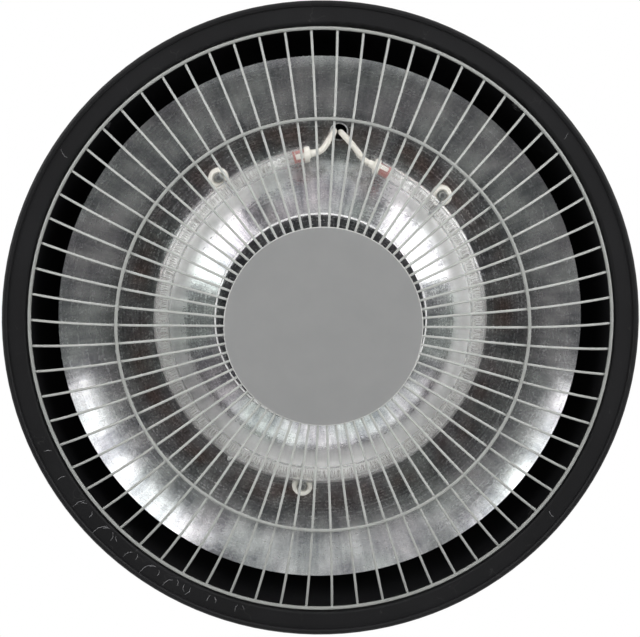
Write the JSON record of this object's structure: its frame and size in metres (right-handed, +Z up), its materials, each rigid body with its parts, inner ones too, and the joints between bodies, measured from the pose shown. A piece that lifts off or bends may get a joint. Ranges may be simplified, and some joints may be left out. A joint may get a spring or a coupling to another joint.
{
  "type": "hanging infrared patio heater",
  "caption": "Round hanging patio heater: black hood, spun reflector, ring-shaped quartz lamp, wire guard with a middle plate, and a top cover with a switch, cable gland and swinging link.",
  "frame": {"origin": "centre of the hanging eye in the link", "axes": "+Z up, with the hood's mouth down; -Y is the front, where the switch and the lamp's gap are; +Y is the back, where the cable comes in; X runs along the hanger's pin"},
  "size_m": [0.425, 0.4248, 0.2429],
  "materials": {
    "black_coat": "matt black powder coat",
    "reflector": "spun, fine concentric brushing",
    "guard_wire": "light grey coat on steel wire",
    "plate": "satin grey coat",
    "quartz": "clear quartz tube",
    "filament": "dull coiled wire",
    "ceramic": "white unglazed ceramic",
    "red_seal": "red heat-resistant silicone",
    "lead_sleeve": "white woven glass-fibre sleeve",
    "zinc": "bright zinc plate",
    "brass": "bare brass",
    "black_rubber": "black rubber",
    "black_nylon": "black moulded nylon",
    "rocker": "black moulded plastic",
    "wire_coat": "brown wire insulation"
  },
  "bodies": {
    "hanger": {"hanger_link": "zinc"},
    "heater": {"block_screws": "zinc", "centre_stud": "zinc", "cover_gasket": "black_rubber", "earth_nut": "brass", "earth_screw": "brass", "filament_supports": "filament", "gland_body": "black_nylon", "gland_locknut": "black_nylon", "gland_nut": "black_nylon", "gland_seal": "black_rubber", "guard_inner_ring": "guard_wire", "guard_middle_ring": "guard_wire", "guard_nuts": "black_coat", "guard_outer_ring": "guard_wire", "guard_plate": "plate", "guard_screws": "black_coat", "guard_spokes": "guard_wire", "guard_tabs": "black_coat", "hanger_bracket": "black_coat", "hanger_bushes": "zinc", "hanger_pin": "zinc", "hanger_pin_clip": "zinc", "hood": "black_coat", "insulator_nuts": "zinc", "insulator_screws": "zinc", "lamp_clips": "zinc", "lamp_filament": "filament", "lamp_insulators": "ceramic", "lamp_lead_left": "lead_sleeve", "lamp_lead_right": "lead_sleeve", "lamp_pinches": "quartz", "lamp_pins": "brass", "lamp_plug_left": "ceramic", "lamp_plug_right": "ceramic", "lamp_seals": "red_seal", "lamp_tube": "quartz", "reflector": "reflector", "spacer_tube": "zinc", "stud_nuts": "zinc", "stud_washers": "zinc", "switch_blades": "brass", "switch_frame": "black_nylon", "switch_wire": "wire_coat", "terminal_block": "ceramic", "terminal_screws": "brass", "top_cover": "black_coat", "wire_bush": "black_rubber"},
    "rocker": {"switch_rocker": "rocker"}
  },
  "joints": [
    {"name": "hanger_swing", "type": "hinge", "parent": "hanger", "child": "heater", "pos_m": [0, 0, -0.028], "axis": [1, 0, 0], "range_deg": [-75, 75]},
    {"name": "power_switch", "type": "hinge", "parent": "heater", "child": "rocker", "pos_m": [0, -0.0522, -0.0765], "axis": [1, 0, 0], "range_deg": [0, 18]}
  ]
}
